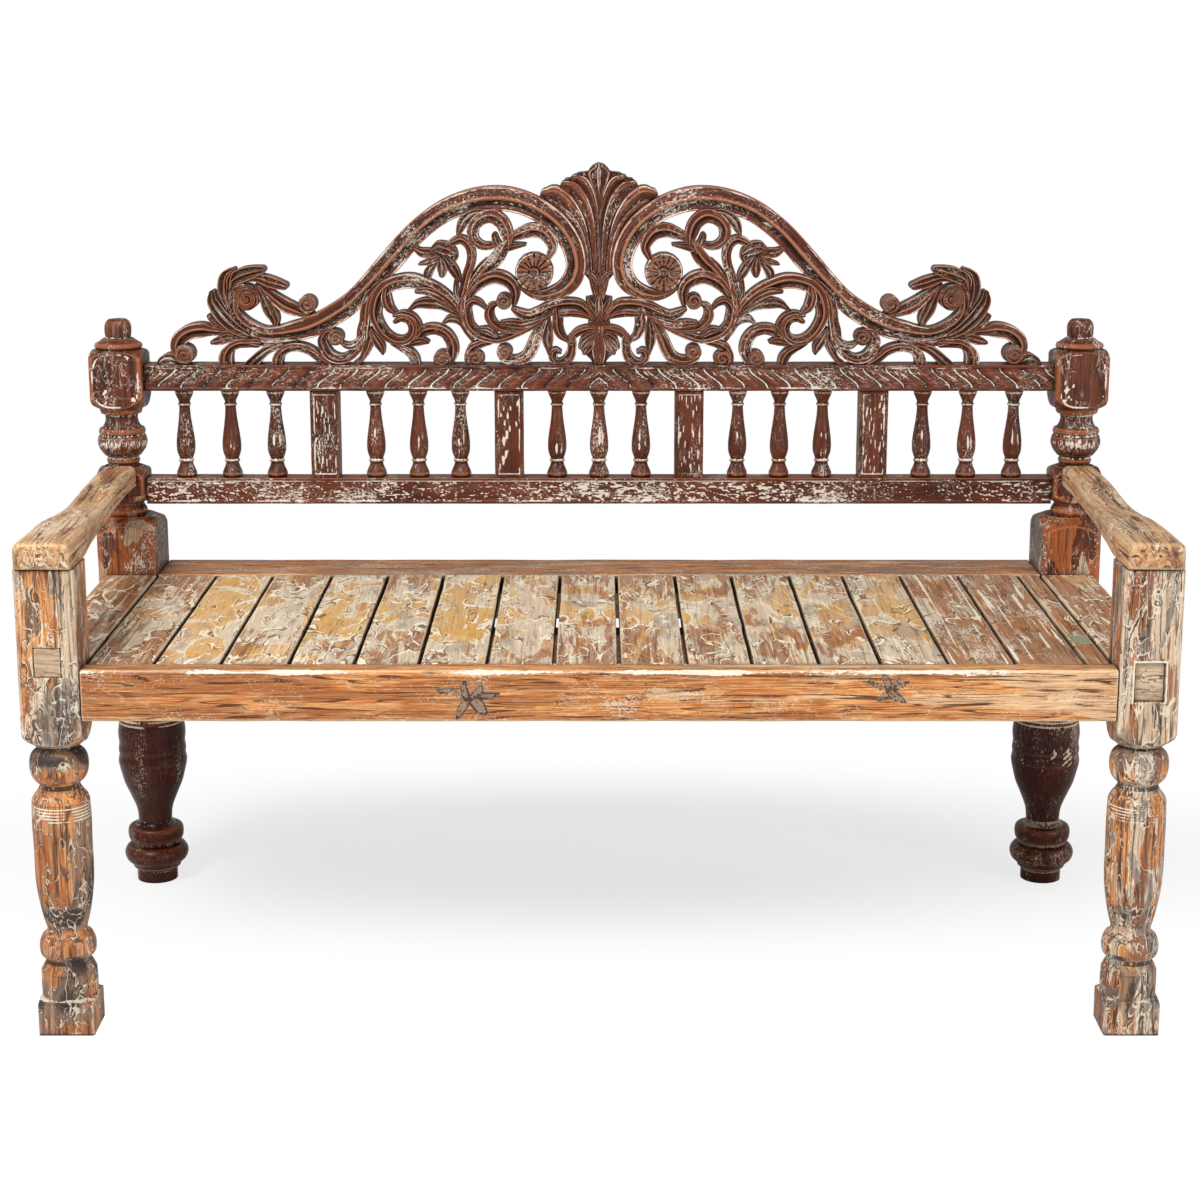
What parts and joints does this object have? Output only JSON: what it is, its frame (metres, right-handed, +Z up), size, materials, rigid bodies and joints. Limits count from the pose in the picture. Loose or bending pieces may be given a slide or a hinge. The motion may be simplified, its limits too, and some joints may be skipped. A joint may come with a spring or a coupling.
{
  "type": "carved bench",
  "caption": "Slatted wooden bench with turned posts, shaped arms, and a back of turned balusters under a rope-carved rail and a pierced scroll-carved crest.",
  "frame": {"origin": "on the floor, under the middle of the bench's outer box", "axes": "+X along the seat towards the sitter's left arm, +Y from the front to the back, +Z up"},
  "size_m": [1.474, 0.673, 1.076],
  "materials": {
    "carved_wood": "worn dark red-brown stain with paint left in the carving",
    "back_post_wood": "worn dark red-brown stain with paint specks",
    "front_post_wood": "weathered, with layers of old cream and grey paint",
    "back_leg_wood": "very dark, waxed",
    "rail_wood": "weathered, rubbed, with open grain",
    "slat_wood": "weathered, with thin old paint",
    "arm_wood": "bare, worn smooth",
    "plug_wood": "rough end grain",
    "hidden_wood": "sawn"
  },
  "bodies": {
    "root": {"arm_left": "arm_wood", "arm_right": "arm_wood", "back_leg_left": "back_leg_wood", "back_leg_right": "back_leg_wood", "back_post_left": "back_post_wood", "back_post_right": "back_post_wood", "back_rail": "rail_wood", "baluster_01": "carved_wood", "baluster_02": "carved_wood", "baluster_03": "carved_wood", "baluster_04": "carved_wood", "baluster_05": "carved_wood", "baluster_06": "carved_wood", "baluster_07": "carved_wood", "baluster_08": "carved_wood", "baluster_09": "carved_wood", "baluster_10": "carved_wood", "baluster_11": "carved_wood", "baluster_12": "carved_wood", "baluster_13": "carved_wood", "baluster_14": "carved_wood", "baluster_15": "carved_wood", "crest_centre": "carved_wood", "crest_dowels": "hidden_wood", "crest_left": "carved_wood", "crest_right": "carved_wood", "front_post_left": "front_post_wood", "front_post_right": "front_post_wood", "front_rail": "rail_wood", "lower_rail": "carved_wood", "mortise_plug_left": "plug_wood", "mortise_plug_right": "plug_wood", "muntin_1": "carved_wood", "muntin_2": "carved_wood", "muntin_3": "carved_wood", "muntin_4": "carved_wood", "rail_pegs": "hidden_wood", "rope_rail": "carved_wood", "seat_pegs": "hidden_wood", "seat_slat_01": "slat_wood", "seat_slat_02": "slat_wood", "seat_slat_03": "slat_wood", "seat_slat_04": "slat_wood", "seat_slat_05": "slat_wood", "seat_slat_06": "slat_wood", "seat_slat_07": "slat_wood", "seat_slat_08": "slat_wood", "seat_slat_09": "slat_wood", "seat_slat_10": "slat_wood", "seat_slat_11": "slat_wood", "seat_slat_12": "slat_wood", "seat_slat_13": "slat_wood", "seat_slat_14": "slat_wood", "seat_slat_15": "slat_wood", "seat_slat_16": "slat_wood", "side_rail_left": "rail_wood", "side_rail_right": "rail_wood", "slat_bearer": "hidden_wood", "slat_ledger": "hidden_wood"}
  },
  "joints": []
}
